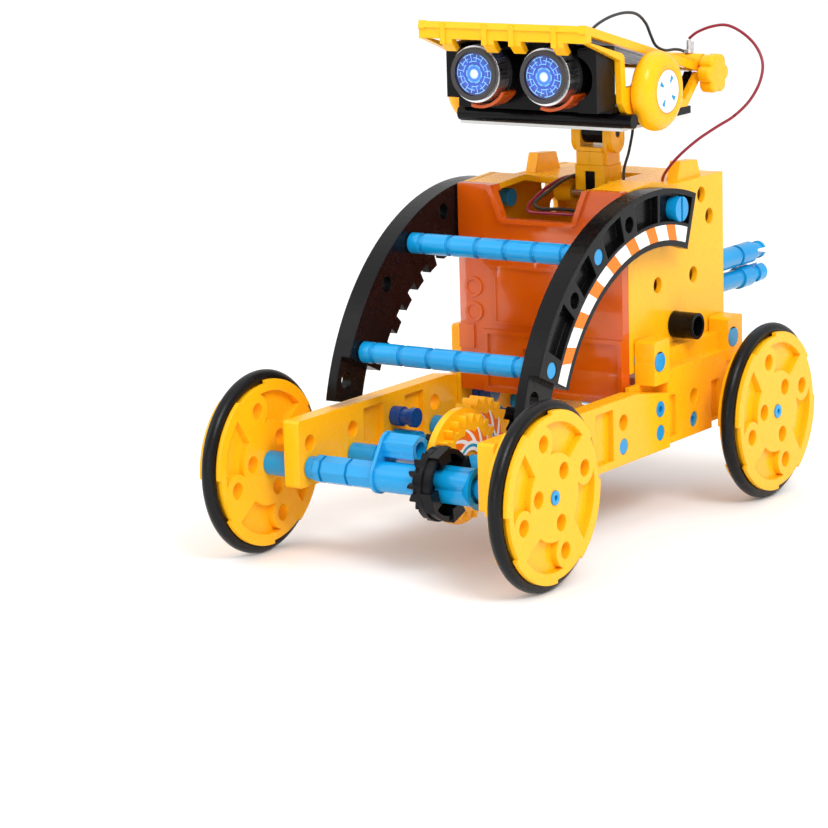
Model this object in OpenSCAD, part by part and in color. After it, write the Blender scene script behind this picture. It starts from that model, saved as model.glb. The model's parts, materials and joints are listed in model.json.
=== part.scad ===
/* [Wheels] */
// Distance between the front and the rear axle
wheelbase = 144; // [96:8:192]
// Distance between the two tyre mid planes of one axle
track = 108; // [100:1:130]
// Outside diameter of a tyre
tyre_d = 60; // [52:1:64]
// Diameter of the rubber ring section
tyre_sec = 4.6; // [3:0.1:6]
// Width of the plastic rim
rim_w = 8; // [6:0.5:10]
// Radius of the circle of the four outer rim holes
rim_hole_r = 18.8; // [16:0.1:20]

/* [Frame] */
// Pitch of the peg hole grid
pitch = 8; // [6:0.5:10]
// Radius of a peg or axle hole
bore_r = 2.7; // [2:0.05:3]
// Running clearance on the radius between a shaft and its hole
run_c = 0.05; // [0.02:0.01:0.1]
// Half width over the side beams
beam_out = 40; // [38:0.5:44]
// Thickness of a side beam
beam_t = 6; // [4:0.5:7]
// Bottom of the side beams above the ground
beam_bot = 24; // [20:0.5:26]
// Top of the side beams above the ground
beam_top = 46; // [44:0.5:46]

/* [Body] */
// Half width of the gearbox body
body_hw = 32; // [30:0.5:32]
// Wall thickness of the body shells
wall = 2; // [1.5:0.1:3]
// Rear face of the body
body_rear = 82; // [78:0.5:86]
// Front face of the orange window
win_front = 14; // [12:0.5:16]

/* [Arcs] */
// Inner radius of the toothed arcs
arc_ri = 62; // [60:0.5:66]
// Outer radius of the toothed arcs
arc_ro = 81; // [76:0.5:84]
// Radius of the hole row in the arcs
arc_rp = 74.3; // [72:0.1:76]
// Diameter of the segmented cross rods
rod_d = 7; // [6:0.1:8]

/* [Gears] */
// Gear module
gear_m = 1.33333; // [1:0.01:1.5]
// Pressure angle of the teeth
press_a = 25; // [20:0.5:28]
// Thinning of each tooth flank at the pitch circle
flank_c = 0.13; // [0.05:0.01:0.2]
// Number of teeth of the large gears
z_big = 24; // [24:1:24]
// Number of teeth of the small gears
z_small = 12; // [12:1:12]

/* [Head] */
// Height of the head hinge axis
head_z = 125; // [120:0.5:130]
// Depth position of the neck hinges
neck_y = 53; // [50:0.5:56]
// Height of the neck hinge axis on the body
neck_z = 104; // [102:0.5:106]
// Slope of the solar panel
panel_tilt = 14.8; // [0:0.1:25]
// Distance of each eye from the middle
eye_x = 13.4; // [12:0.1:15]
// Diameter of an ear disc
ear_d = 26.4; // [22:0.2:30]

/* [Leads] */
// Diameter of the long head leads
lead_d = 1.0; // [0.8:0.1:1.4]
// Diameter of the short motor leads
mlead_d = 1.2; // [1:0.1:1.4]

/* [Hidden] */
yax = wheelbase/2;
zax = tyre_d/2;
xw = track/2;
shaft_r = bore_r - run_c;
half_c = 0.04;
ac_y = 3*pitch;
ac_z = zax;
r_big = z_big*gear_m/2;
r_small = z_small*gear_m/2;
g1_y = -yax + r_big + r_small;
g2_y = g1_y + r_big + r_small;
id_y = g2_y + r_big + r_small;
ch_y = id_y + r_big + r_small;
out_y = 48;
out_z = zax + 32;
cp_y = out_y - 32*cos(50);
cp_z = out_z + 32*sin(50);
mot_y = cp_y + 13.6*cos(20);
mot_z = cp_z + 13.6*sin(20);
p1 = 6;
p2 = -5;
ap_y = ac_y + 74.4*cos(78.5);
ap_z = ac_z + 74.4*sin(78.5);

yellow = [1, 0.72, 0.08];
orange = [0.95, 0.4, 0.06, 0.6];
black = [0.06, 0.06, 0.07];
dark = [0.2, 0.19, 0.19];
blue = [0.1, 0.6, 0.93];
deepblue = [0.05, 0.22, 0.6];
silver = [0.75, 0.76, 0.78];
white = [0.95, 0.95, 0.95];
tape = [0.95, 0.42, 0.05];
red = [0.65, 0.05, 0.1];

// places the whole model so that the origin is under the middle of its outline
module put() translate([0, -6.6, 0]) children();
// profile in the side plane, extruded to the left from x0
module yz(x0, w) translate([x0, 0, 0]) rotate([90, 0, 90]) linear_extrude(w) children();
// round bar along X
module xb(x0, x1, y, z, r, f = 48) translate([x0, y, z]) rotate([0, 90, 0]) cylinder(r = r, h = x1 - x0, $fn = f);
// round bar along Y
module yb(y0, y1, x, z, r, f = 48) translate([x, y0, z]) rotate([-90, 0, 0]) cylinder(r = r, h = y1 - y0, $fn = f);
module box(x0, x1, y0, y1, z0, z1) translate([x0, y0, z0]) cube([x1 - x0, y1 - y0, z1 - z0]);
// mirror to the right side for s = -1
module side(s) { if (s > 0) children(); else mirror([1, 0, 0]) children(); }

// involute gear outline
function inv(a) = tan(a)*180/PI - a;
function ht(r, rb, hp, ip) = hp + ip - (r > rb ? inv(acos(rb/r)) : 0);
function tooth(z, m, c) = let (rp = z*m/2, rb = rp*cos(press_a), ra = rp + 0.9*m, rf = rp - 1.2*m,
    hp = 90/z - c/rp*180/PI, ip = inv(press_a), r0 = max(rb, rf + 0.02),
    rs = [r0, r0 + (ra - r0)*0.2, r0 + (ra - r0)*0.4, r0 + (ra - r0)*0.6, r0 + (ra - r0)*0.8, ra])
    concat([[rf, -ht(r0, rb, hp, ip)]], [for (r = rs) [r, -ht(r, rb, hp, ip)]],
    [for (i = [5:-1:0]) [rs[i], ht(rs[i], rb, hp, ip)]], [[rf, ht(r0, rb, hp, ip)]]);
module gear2d(z, m, c, a0) polygon([for (i = [0:z - 1]) for (p = tooth(z, m, c))
    [p[0]*cos(p[1] + i*360/z + a0), p[0]*sin(p[1] + i*360/z + a0)]]);
// start angle of a gear so that it meshes with a gear in direction t
function mate(t, ra, za, zb) = t + 180 - 360/zb*(0.5 - (t - ra)*za/360);
module gear(x0, w, y, z, n, a0, m = gear_m, c = flank_c) translate([0, y, z]) yz(x0, w) gear2d(n, m, c, a0);

a_ax = 0;
a_g1 = mate(0, a_ax, z_small, z_big);
a_s1 = 0;
a_g2 = mate(0, a_s1, z_small, z_big);
a_id = mate(0, a_g2, z_big, z_small);
a_ch = mate(0, a_id, z_small, z_big);
t_out = atan2(out_z - zax, out_y - ch_y);
a_out = mate(t_out, a_ch, z_big, 36);
t_cp = 130;
a_cp = mate(t_cp, a_out, 36, z_small);
t_mo = 20;
a_mo = mate(t_mo, 0, 24, 10);

/* ---------- wheels ---------- */
module rim(s, y) translate([0, y, 0]) side(s) translate([xw, 0, zax]) {
  r = tyre_d/2 - 3.1;
  g = tyre_d/2 - tyre_sec;
  difference() {
    union() {
      rotate([0, 90, 0]) cylinder(r = g - 0.04, h = rim_w, center = true, $fn = 96);
      translate([-rim_w/2, 0, 0]) rotate([0, 90, 0]) cylinder(r = r - 0.8, h = 1.5, $fn = 96);
      translate([rim_w/2 - 1.5, 0, 0]) rotate([0, 90, 0]) cylinder(r = r - 0.8, h = 1.5, $fn = 96);
      for (a = [18, 108, 198, 288]) for (e = [-1, 1]) rotate([a + 45, 0, 0])
        intersection() {
          translate([e*(rim_w/2 - 0.75), 0, 0]) rotate([0, 90, 0]) cylinder(r = r + 0.3, h = 1.5, center = true, $fn = 96);
          translate([e*(rim_w/2 - 0.75) - 1, 0, 0]) yz(0, 2) polygon([[0, 0], [40, -22], [40, 22]]);
        }
    }
    // ring shaped hollow on both faces, with the web left in the middle
    for (e = [0, 1]) translate([e ? rim_w/2 - 2.2 : -rim_w/2 - 1, 0, 0]) difference() {
      rotate([0, 90, 0]) cylinder(r = r - 3.4, h = 3.2, $fn = 96);
      translate([-1, 0, 0]) rotate([0, 90, 0]) cylinder(r = 14, h = 6, $fn = 64);
      for (a = [18, 108, 198, 288]) rotate([a, 0, 0]) translate([-1, rim_hole_r, 0]) rotate([0, 90, 0])
        cylinder(r = 5.4, h = 6, $fn = 48);
      for (a = [35, 125, 215, 305]) rotate([a, 0, 0]) translate([-1, 0, -4]) cube([6, 30, 8]);
    }
    for (a = [18, 108, 198, 288]) rotate([a, 0, 0]) translate([-10, rim_hole_r, 0]) rotate([0, 90, 0])
      cylinder(r = bore_r, h = 20, $fn = 48);
    for (a = [53, 173, 293]) rotate([a, 0, 0]) translate([-10, 9.3, 0]) rotate([0, 90, 0])
      cylinder(r = bore_r, h = 20, $fn = 48);
    translate([-10, 0, 0]) rotate([0, 90, 0]) cylinder(r = 2.3, h = 20, $fn = 48);
  }
}
module tyre(s, y) translate([0, y, 0]) side(s) translate([xw, 0, zax]) rotate([0, 90, 0])
  rotate_extrude($fn = 128) translate([tyre_d/2 - tyre_sec/2, 0]) circle(d = tyre_sec, $fn = 32);
// hollow pin through the hub, with the spacer bush that sits between rim and beam
module hub_pin(y) for (s = [-1, 1]) side(s) {
  difference() {
    xb(beam_out + 0.3, xw + rim_w/2 + 0.5, y, zax, 2.25);
    xb(xw + 1, xw + 9, y, zax, 0.9);
  }
  xb(beam_out + 0.3, xw - rim_w/2 - 0.05, y, zax, 4);
  xb(beam_out + 0.3, beam_out + 1.8, y, zax, 5);
}

/* ---------- side beams ---------- */
module grid_holes(ys, zs, x0, x1) for (y = ys) for (z = zs) xb(x0, x1, y, z, bore_r);
module beam_front(s) color(yellow) side(s) difference() {
  yz(beam_out - beam_t, beam_t) polygon([[-77.2, beam_bot], [-78, beam_bot + 0.8], [-78, beam_top - 0.8],
    [-77.2, beam_top], [8, beam_top], [30, beam_top - 3.5], [30, beam_bot]]);
  grid_holes([-yax, g1_y, g2_y, id_y, ch_y], [zax, zax + pitch], 30, 44);
  for (y = [-36, -12]) {
    box(beam_out - 2, beam_out + 1, y - 5.5, y + 5.5, beam_bot + 2.5, beam_top - 2.5);
    box(beam_out - beam_t - 1, beam_out - beam_t + 2, y - 5.5, y + 5.5, beam_bot + 2.5, beam_top - 2.5);
  }
}
module chassis_side(s) color(yellow) side(s) difference() {
  union() {
    yz(32.4, beam_out - 0.8 - 32.4) polygon([[30.2, beam_bot + 0.8], [60, beam_bot + 0.8], [60, beam_bot + 3],
      [80, beam_bot + 3], [80, 50], [20.5, 50], [20.5, 46.2], [30.2, 46.2]]);
    box(32.4, 36, 30.4, 71, 49.9, 56);
    box(32.4, beam_out - beam_t - 0.05, 14, 30.4, 34, 46.4);
    yz(32.4, beam_out - 32.4) polygon([[20.5, 46.2], [30.5, 46.2], [30.5, 60.4], [29.9, 61], [21.3, 61], [20.5, 60.2]]);
    yz(32.4, beam_out - 32.4) polygon([[70.5, 46.2], [80.5, 46.2], [80.5, 60.4], [79.9, 61], [71.3, 61], [70.5, 60.2]]);
  }
  grid_holes([48, yax], [zax, zax + pitch], 30, 44);
  xb(30, 44, ch_y, zax + pitch, bore_r);
  for (y = [24, 74]) xb(30, 44, y, 54, 3.35);
  box(37.4, 42, 31, 36, beam_bot + 3, beam_top - 5);
  box(37.4, 42, 60, 66, beam_bot + 4, beam_top - 5);
}

/* ---------- gearbox body ---------- */
module shell_outline() polygon([[18, 50], [18, 111], [35, 112], [46, 109.5], [body_rear, 109.5], [body_rear, 50]]);
module shell_top() polygon([[18.2, 108.8], [35, 109.8], [46, 107.4], [body_rear - wall, 107.4], [body_rear - wall, 109.4],
  [46, 109.4], [35, 111.9], [18.2, 110.9]]);
module body_shell(s) color(yellow) side(s) difference() {
  union() {
    yz(body_hw - wall, wall) shell_outline();
    difference() {
      yz(half_c, body_hw - wall) shell_top();
      box(-1, 18, 0, 44, 90, 120);
      box(-1, 9, 43, 67, 90, 120);
    }
    // rear wall
    box(half_c, body_hw - wall, body_rear - wall, body_rear, 50, 109.4);
    // floor
    difference() {
      box(half_c, body_hw - wall, 18, body_rear - wall, 50, 52);
      if (s > 0) box(-1, 2.5, 17, 75, 40, 60);
      else box(-1, 6.5, 17, 75, 40, 60);
    }
    // front post behind the window, horn on the top edge, mounting posts
    box(body_hw - 6, body_hw - wall, 18.2, 21, 51, 109.7);
    yz(26, 4) polygon([[54, 109], [56.5, 116], [68, 115.2], [70.5, 109]]);
    // neck bearing tube and its stay
    xb(9.4, 16, neck_y, neck_z, 3.5);
    box(12, 15, neck_y - 2, neck_y + 2, neck_z + 2, 108);
    box(12, 15, neck_y + 10, neck_y + 14, 99, 108);
    yz(12, 3) polygon([[neck_y, 101.2], [neck_y + 13, 99.4], [neck_y + 13, 103], [neck_y, 107]]);
    // bearing rib for the final shaft and the compound shaft
    if (s > 0) { box(20, 23, 56, body_rear - wall, 52, 70); xb(20, 23, out_y, out_z, 8); box(20, 23, 48, 58, 55, 69); }
    else { box(20, 23, 56, body_rear - wall, 52, 70); xb(20, 23, out_y, out_z, 8); box(20, 23, 48, 58, 55, 69); }
    if (s < 0) { xb(12, 31, cp_y, cp_z, 4.6); }
  }
  // peg holes in the side wall
  for (p = [[37, 77], [61, 77], [67, 103.5], [72.4, 95.5], [ap_y, ap_z]]) xb(27, 40, p[0], p[1], bore_r);
  for (y = [24, 74]) xb(28, 40, y, 54, 3.35);
  // final shaft
  xb(8, 40, out_y, out_z, 4.55);
  xb(9, 17, neck_y, neck_z, 2.08);
  if (s < 0) xb(10, 27, cp_y, cp_z, 1.55);
  // rear peg holes
  for (z = [69.5, 77.5]) yb(70, 90, 28, z, bore_r);
}
module body_shell_left() { body_shell(1); color(yellow) motor_cradle(); }
// raised border on the window face
module yz2(p) translate([0, win_front + 0.2, 0]) rotate([90, 0, 0]) linear_extrude(1.6) polygon(p);
module gearbox_window() color(orange) difference() {
  union() {
    difference() {
      box(-body_hw + 0.1, body_hw - 0.1, win_front, 17.9, 40.5, 111);
      box(-body_hw + 2.1, body_hw - 2.1, win_front + 2, 20, 42.5, 108.8);
    }
    // floor flange under the body
    box(-24, 28, win_front + 0.1, 46, 40.5, 42.5);
    box(-24, -22, win_front + 1, 46, 42, 49.8);
    box(26, 28, win_front + 1, 46, 42, 49.8);
    for (z = [67.5, 76]) yb(win_front - 0.8, win_front + 0.5, -26, z, 3.4);
    // raised lower tray and the frames round the bosses
    box(-22, body_hw - 0.1, win_front - 1.2, win_front + 0.2, 40.5, 62);
    box(-18, 14, win_front - 0.7, win_front + 0.2, 64, 84);
    box(-body_hw + 0.1, -body_hw + 6, win_front - 0.9, win_front + 0.2, 55, 63);
    // ledge along the top notch and its two raised borders
    box(-14.2, 14.2, win_front - 1.4, win_front + 2, 98.4, 100);
    for (s = [-1, 1]) side(s) yz2([[13.2, 100], [15, 98.8], [19.8, 111], [17.9, 111]]);
  }
  box(-20.4, body_hw - 1.6, 10, win_front - 0.2, 42.4, 60.4);
  box(-17, 13, 10, win_front - 0.1, 65, 83);
  yb(0, 13.7, -26, 67.5, 2.4);
  yb(0, 13.7, -26, 76, 2.4);
  // top notch over the leads
  translate([0, 30, 0]) rotate([90, 0, 0]) linear_extrude(40) polygon([[-18, 112], [-13.5, 100], [13.5, 100], [18, 112]]);
  // slot for the gear train
  box(-7, 3, 0, 60, 30, 56);
}
module motor() color(silver) {
  difference() {
    xb(10, 28, mot_y, mot_z, 9);
    box(5, 40, mot_y - 12, mot_y + 12, mot_z + 7.5, mot_z + 12);
    box(5, 40, mot_y - 12, mot_y + 12, mot_z - 12, mot_z - 7.5);
    xb(9, 30, mot_y, mot_z, 1.05);
  }
}
module motor_cradle() difference() {
  union() {
    box(13, 16, mot_y - 11, mot_y + 11, 68, mot_z - 2);
    box(22, 25, mot_y - 11, mot_y + 11, 68, mot_z - 2);
    box(13, 30.5, mot_y - 11, mot_y + 11, 68.4, 70.6);
  }
  xb(5, 40, mot_y, mot_z, 9.02);
}

/* ---------- drive train ---------- */
module motor_pinion() color(silver) {
  gear(1.5, 4, mot_y, mot_z, 10, a_mo, 0.8, 0.08);
  xb(1, 27.5, mot_y, mot_z, 1.0, 24);
}
module compound_gear() color(white) {
  gear(1.7, 3.6, cp_y, cp_z, 24, 0, 0.8, 0.08);
  gear(p2 + 0.2, 5.6, cp_y, cp_z, z_small, a_cp);
  xb(p2 + 5.5, 2, cp_y, cp_z, 4);
  xb(-26, p2 + 0.4, cp_y, cp_z, 1.5, 32);
}
module output_gear() color(white) difference() {
  union() {
    gear(p2 + 0.2, 5.6, out_y, out_z, 36, a_out);
    xb(p2 - 1, p2 + 7.4, out_y, out_z, 7);
  }
  xb(-20, 20, out_y, out_z, 4.5);
}
module output_tube() color(black) difference() {
  xb(-41, 41, out_y, out_z, 4.48);
  xb(27, 50, out_y, out_z, 3.4);
  xb(-50, -27, out_y, out_z, 3.4);
}
module shaft(x0, x1, y, z, r = shaft_r) { xb(x0, x1, y, z, r); }
module big_gear(x0, y, a) difference() {
  gear(x0, 6, y, zax, z_big, a);
  xb(x0 - 1, x0 + 7, y, zax, shaft_r + 0.01);
  xb(x0 + 5.2, x0 + 7, y, zax, 5.4);
  difference() { xb(x0 - 1, x0 + 1.2, y, zax, 12.6); xb(x0 - 2, x0 + 2, y, zax, 5); }
}
module chain_gear() color(yellow) big_gear(p2, ch_y, a_ch);
module crown_rear() color(yellow) big_gear(p2, g2_y, a_g2);
module crown_front() color(yellow) {
  big_gear(p1, g1_y, a_g1);
  difference() {
    xb(p1 + 0.2, p1 + 2.6, g1_y, zax, 18.8, 96);
    xb(p1 - 1, p1 + 7, g1_y, zax, 13);
  }
}
module pinion(y, a) difference() {
  gear(p2 + 0.1, 5.8, y, zax, z_small, a);
  xb(p2 - 1, p2 + 8, y, zax, shaft_r + 0.01);
}
// shaft with shoulders, running in the two beams; the gears press on it
module train_shaft(y) {
  xb(-beam_out + 0.2, beam_out - 0.2, y, zax, shaft_r);
  for (s = [-1, 1]) side(s) xb(24, beam_out - beam_t - 0.3, y, zax, 3.6);
}
module chain_shaft() color(blue) { train_shaft(ch_y); xb(1.3, 12, ch_y, zax, 4.4); xb(-16, -5.2, ch_y, zax, 4.4); }
module idler_pinion() color(white) pinion(id_y, a_id);
module idler_shaft() color(blue) { train_shaft(id_y); xb(1.2, 7, id_y, zax, 4.2); xb(-12, -5.2, id_y, zax, 4.2); }
module gear_shaft_rear() color(blue) {
  train_shaft(g2_y);
  xb(1.3, 9, g2_y, zax, 3.9);
  for (a = [0:60:300]) translate([1.3, g2_y, zax]) rotate([a, 0, 0]) translate([0, -1, 0]) cube([7.6, 2, 4.7]);
  xb(-14, -5.2, g2_y, zax, 3.9);
}
module gear_shaft_front() color(blue) {
  train_shaft(g1_y);
  xb(1.2, 5.8, g1_y, zax, 4.2);
  xb(12.2, 19, g1_y, zax, 4.2);
}

/* ---------- front axle ---------- */
module oct(x0, x1, y, r) xb(x0, x1, y, zax, r, 8);
module axle_front() color(blue) {
  xb(-beam_out - 0.3, beam_out + 0.3, -yax, zax, shaft_r);
  for (s = [-1, 1]) side(s) xb(31, beam_out - beam_t - 0.3, -yax, zax, 3.8);
  oct(-30.6, -28.2, -yax, 4.6);
  oct(-27.2, -18, -yax, 4.6);
  oct(-17, -7.6, -yax, 4.6);
  xb(-31, -7.6, -yax, zax, 3.5);
}
module coupler() color(blue) difference() {
  union() {
    hull() { xb(-7.4, -6.2, -yax, zax, 5.6); xb(-7.4, -6.2, -yax + 5, zax + 8.6, 5.1); }
    xb(-6.3, 9.3, -yax, zax, 4.9);
    xb(-6.3, 5.4, -yax + 5, zax + 8.6, 4.7, 6);
    xb(-6.3, 5.4, -yax + 5, zax + 8.6, 4.2);
  }
  xb(-9, 12, -yax, zax, shaft_r + 0.01);
  xb(-9, 12, -yax + 5, zax + 8.6, bore_r);
}
module drive_gear() color(black) difference() {
  union() {
    gear(9.5, 4.6, -yax, zax, z_small, a_ax);
    xb(14, 16.5, -yax, zax, 12);
    difference() {
      for (a = [0:90:270]) rotate_at(a + 20) yz(16.4, 3.9) polygon([[6, -2.2], [11.8, -3.6], [11.8, 3.6], [6, 2.2]]);
      xb(10, 30, -yax, zax, 7.6);
    }
    difference() { xb(16.4, 19.5, -yax, zax, 11.4); xb(16, 20, -yax, zax, 9.8); }
  }
  xb(5, 30, -yax, zax, shaft_r + 0.01);
  for (a = [0:30:330]) rotate_at(a) box(13.9, 15, -1, 1, 10.6, 14);
}
module rotate_at(a) translate([0, -yax, zax]) rotate([a, 0, 0]) children();
module sleeve() color(blue) difference() {
  union() {
    for (a = [50:90:320]) rotate_at(a) translate([17, 3, 0]) rotate([0, 90, 0]) cylinder(r = 3.3, h = 13, $fn = 32);
    rotate_at(0) translate([17, 0, 0]) rotate([0, 90, 0]) cylinder(r = 4, h = 11, $fn = 48);
    rotate_at(0) translate([27.6, 0, 0]) rotate([0, 90, 0]) cylinder(r1 = 5.4, r2 = 6.9, h = 2.9, $fn = 48);
  }
  xb(16, 32, -yax, zax, shaft_r + 0.01);
  rotate_at(0) translate([28.4, 0, 0]) rotate([0, 90, 0]) cylinder(r = 4.9, h = 4, $fn = 48);
}
module axle_rear() color(blue) {
  xb(-beam_out - 0.3, beam_out + 0.3, yax, zax, shaft_r);
  for (s = [-1, 1]) side(s) { xb(26, 32, yax, zax, 3.8); oct(4, 14, yax, 4.6); oct(15, 25, yax, 4.6); }
  xb(-26, 26, yax, zax, 3.5);
}

/* ---------- arcs and rods ---------- */
function ay(r, a) = ac_y + r*cos(a);
function az(r, a) = ac_z + r*sin(a);
module sector(r0, r1, a0, a1, n = 40) polygon(concat(
  [for (i = [0:n]) let (a = a0 + (a1 - a0)*i/n) [ay(r1, a), az(r1, a)]],
  [for (i = [n:-1:0]) let (a = a0 + (a1 - a0)*i/n) [ay(r0, a), az(r0, a)]]));
hole_a = [103.8, 119.9, 134.7, 153.8];
// s = side, foot_in = the foot lies on the body side of the arc
module arc(s, foot_in) color(black) side(s) difference() {
  union() {
    yz(36, 3.5) sector(arc_ri, arc_ro, 71, 156.6);
    yz(32.6, 3.4) sector(arc_ri + 0.6, arc_ro, 71, 156.6);
    if (s < 0) yz(32.6, 3.2) for (k = [0:8]) sector(arc_ri - 3, arc_ri + 1, 77 + k*8.8, 81.4 + k*8.8, 2);
    if (foot_in) yz(32.6, 3.4) sector(arc_ri + 3.5, arc_ro, 156.4, 167, 8);
    else yz(36, 3.5) sector(arc_ri + 3.5, arc_ro, 156.4, 167, 8);
  }
  box(30, 42, -70, 10, 40, 47.4);
  for (a = hole_a) xb(30, 42, ay(arc_rp, a), az(arc_rp, a), bore_r);
  xb(30, 42, -48, 54, bore_r);
  // rectangular pockets on the outer face
  for (p = [[89.4, 100.4], [107.2, 116.5], [123.3, 131.3], [138.1, 150.2]])
    yz(36.8, 4) sector(arc_ri + 8.2, arc_ro - 1.8, p[0], p[1], 8);
  yz(36.8, 4) sector(arc_ri + 8.2, arc_ro - 1.8, 72.6, 88.4, 8);
  xb(30, 42, ap_y, ap_z, bore_r);
}
module cross_rod(a) color(blue) {
  y = ay(arc_rp, a);
  z = az(arc_rp, a);
  xb(-32.5, 32.5, y, z, rod_d/2 - 0.7);
  for (i = [-3:3]) let (c = i*11) {
    x0 = max(-32.5, c - 5);
    x1 = min(32.5, c + 5);
    translate([x0, y, z]) rotate([0, 90, 0]) { translate([0, 0, 0.4]) cylinder(r = rod_d/2, h = x1 - x0 - 0.8, $fn = 48);
      cylinder(r = rod_d/2 - 0.4, h = x1 - x0, $fn = 48); }
  }
  for (s = [-1, 1]) side(s) xb(32.4, 39.3, y, z, bore_r - half_c);
}
// peg with split head that fixes the upper end of an arc to the body wall
module arc_pegs() color(blue) for (s = [-1, 1]) side(s) difference() {
  union() {
    xb(27, 37.2, ap_y, ap_z, bore_r - half_c);
    xb(36.8, 40.6, ap_y, ap_z, 4.2);
    xb(26, 29.4, ap_y, ap_z, 3.1);
  }
  box(39, 42, ap_y - 0.6, ap_y + 0.6, 90, 120);
}

/* ---------- pegs ---------- */
module peg_x(x0, x1, y, z) difference() {
  xb(x0, x1, y, z, bore_r - half_c);
  xb(x1 - 2, x1 + 1, y, z, 1.1);
  xb(x0 - 1, x0 + 2, y, z, 1.1);
}
module beam_pegs() color(blue) {
  peg_x(31.2, beam_out + 0.1, ch_y, zax + pitch);
  xb(31.2, 32.3, ch_y, zax + pitch, 3.4);
  for (s = [-1, 1]) side(s) {
    peg_x(28.3, 38.6, 48, zax);
    xb(29, 32.3, 48, zax, 3.4);
  }
}
module stub_pegs() color(deepblue) side(-1) {
  peg_x(25, beam_out - 0.3, g2_y, zax + pitch);
  xb(30.2, beam_out - beam_t - 0.05, g2_y, zax + pitch, 3.3);
  xb(25, 27, g2_y, zax + pitch, 3.3);
  peg_x(25, beam_out + 0.1, ch_y, zax + pitch);
  xb(30, 32.3, ch_y, zax + pitch, 3.3);
  xb(25, 27, ch_y, zax + pitch, 3.3);
}
module half_pins() color(blue) for (s = [-1, 1]) side(s) for (y = [24, 74]) difference() {
  xb(29, beam_out + 0.2, y, 54, 3.3);
  box(38.2, 42, y - 5, y + 5, 56.8, 60);
}
module rear_peg_upper(z) difference() {
  union() {
    yb(body_rear - 5, 96, 28, z, bore_r - half_c);
    yb(body_rear + 0.05, 96, 28, z, 3.75);
    yb(95.9, 98.1, 28, z, 3);
    yb(98, 107.6, 28, z, 3.75);
    yb(107, 115.2, 28, z, bore_r - half_c);
    yb(113.4, 114.6, 28, z, 3.05);
  }
  box(20, 36, 108, 118, z - 0.9, z + 0.9);
}
module rear_peg_lower(z) difference() {
  union() {
    yb(body_rear - 5, 96, 28, z, bore_r - half_c);
    yb(body_rear + 0.05, 99, 28, z, 3.2);
    yb(98.9, 106, 28, z, 3.85);
    yb(105.9, 110.8, 28, z, bore_r - half_c);
    yb(110.6, 115.2, 28, z, 3.3);
  }
  box(27.1, 28.9, 108, 118, z - 6, z + 6);
}
module rear_pegs() color(blue) for (s = [-1, 1]) side(s) { rear_peg_upper(77.5); rear_peg_lower(69.5); }

/* ---------- neck ---------- */
module neck_half(s) color(yellow) side(s) difference() {
  union() {
    box(half_c, 5.8, 47.5, 58.5, 109.2, 114.4);
    box(half_c, 5.2, 47.3, 58.3, 114.3, 118.9);
    box(half_c, 4.4, 47.8, 57.8, 118.8, 120.4);
    box(1.9, 5.8, 47.5, 58.5, 105.6, 109.3);
    hull() { xb(4.4, 8, neck_y, head_z, 4.3, 32); xb(4.4, 8, neck_y, head_z - 2.5, 4.3, 32); }
    yz(4.4, 1.6) polygon([[48.7, 114], [57.3, 114], [57.3, 123], [48.7, 123]]);
  }
  xb(0, 9, neck_y, head_z, 1.6);
  box(-1, 1.9, 46, 60, 100, 112.2);
  xb(0, 4.35, neck_y, head_z, 4.6);
  xb(0, 9, neck_y, neck_z, 2.4);
  xb(0, 9, neck_y, 107.4, 0.95, 24);
}
module neck_core() color(black) {
  difference() {
    union() {
      box(-1.8, 1.8, 47.6, 58.2, 106, 112.1);
      xb(-1.8, 1.8, neck_y, neck_z, 4.2);
      box(-1.8, 1.8, 49.5, 56.5, 104, 107);
    }
    xb(-3, 3, neck_y, neck_z, 2.04);
  }
  xb(-5.7, 5.7, neck_y, 107.4, 0.9, 24);
}
// pin pressed in the neck core that turns in the two body tubes
module neck_pin() color(silver) xb(-15.8, 15.8, neck_y, neck_z, 2.02);
module ear_pin() color(black) xb(-7.6, 7.6, neck_y, head_z, 1.55);

/* ---------- head ---------- */
module head_tab() color(black) difference() {
  union() {
    xb(-4.1, 4.1, neck_y, head_z, 3.8);
    box(-4.1, 4.1, neck_y - 2.6, neck_y + 2.6, head_z, 130.6);
    box(-8, 8, neck_y - 7, neck_y + 6, 130.2, 132.15);
  }
  xb(-5, 5, neck_y, head_z, 1.62);
}
module base_plate() color(black) {
  difference() {
    union() {
      box(-31, 32.3, 16, 60, 132, 134.5);
      xb(-31, 36.2, 16, 134.4, 2.4);
      box(-29.8, 29.8, 58, 61, 132, 137);
      box(26, 29.9, 20, 38, 134, 139);
      box(-29.9, -26, 20, 38, 134, 139);
      box(-30.5, 32.2, 15, 57.8, 131, 132.1);
    }
    box(-8.1, 8.1, neck_y - 7.1, neck_y + 6.1, 130, 132.2);
  }
  // straps up to the rear of the panel
  for (s = [-1, 1]) side(s) yz(26.5, 3) polygon([[56, 134], [61, 134], [68.4, 142.4], [66, 145.2]]);
}
module eye_housing() color(black) {
  box(-29, 30, 12, 14.6, 137, 158.8);
  for (s = [-1, 1]) yb(5, 12.2, s*eye_x, 149.6, 10.2);
  box(-29, -23, 5, 12.2, 141, 158.8);
  difference() { box(23, 30, 3, 12.2, 138, 158.8); yb(0, 13, 21, 149, 7.5); }
  box(-29, 30, 14, 19.8, 137, 139);
}
module eye_barrel() color(silver) for (s = [-1, 1]) difference() {
  yb(-1.6, 4.9, s*eye_x, 149.8, 9.4, 64);
  yb(-3, 6, s*eye_x, 149.8, 7.9, 64);
}
module eye_bezel() color(dark) for (s = [-1, 1]) difference() {
  yb(-3, -1.7, s*eye_x, 149.9, 8.7, 64);
  yb(-4, 6, s*eye_x, 149.9, 7.2, 64);
}
module eye_lens() color(deepblue) for (s = [-1, 1]) yb(-2.3, 4.8, s*eye_x, 149.9, 7.1, 64);
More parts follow.
